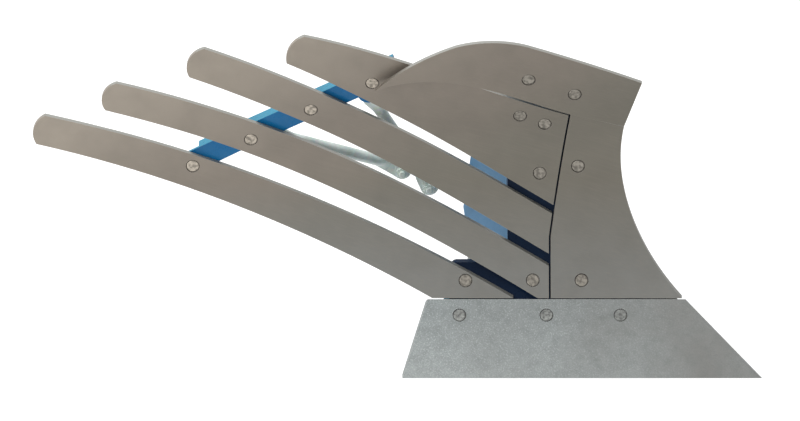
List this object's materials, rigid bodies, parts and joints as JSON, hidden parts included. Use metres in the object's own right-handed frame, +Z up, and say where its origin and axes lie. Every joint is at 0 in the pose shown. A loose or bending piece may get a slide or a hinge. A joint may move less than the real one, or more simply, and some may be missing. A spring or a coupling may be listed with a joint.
{
  "type": "slatted mouldboard plough body",
  "caption": "Right-hand slatted plough body with share, shin, curved slats, trash board, landside and a welded frog with bolt holes for its leg.",
  "frame": {"origin": "midway between the leg's bolt holes, on the frog's inner face", "axes": "+X the way it travels, +Y to the landside, +Z up"},
  "size_m": [1.1326, 0.6737, 0.6065],
  "materials": {
    "plate_steel": "satin",
    "share_steel": "satin",
    "blue_paint": "gloss",
    "zinc": "satin",
    "bolt_steel": "satin"
  },
  "bodies": {
    "root": {"frog_base_web": "blue_paint", "frog_brace": "blue_paint", "frog_face_plate": "blue_paint", "frog_rib": "blue_paint", "frog_share_seat": "blue_paint", "frog_side_plate": "blue_paint", "landside": "share_steel", "landside_heel": "share_steel", "share": "share_steel", "shin": "plate_steel", "slat_1": "plate_steel", "slat_2": "plate_steel", "slat_3": "plate_steel", "slat_4": "plate_steel", "slat_rail": "blue_paint", "stay_arm": "blue_paint", "stay_lower": "zinc", "stay_upper": "zinc", "trash_board": "plate_steel", "trash_board_bracket": "blue_paint", "trash_board_sleeves": "zinc"}
  },
  "joints": []
}
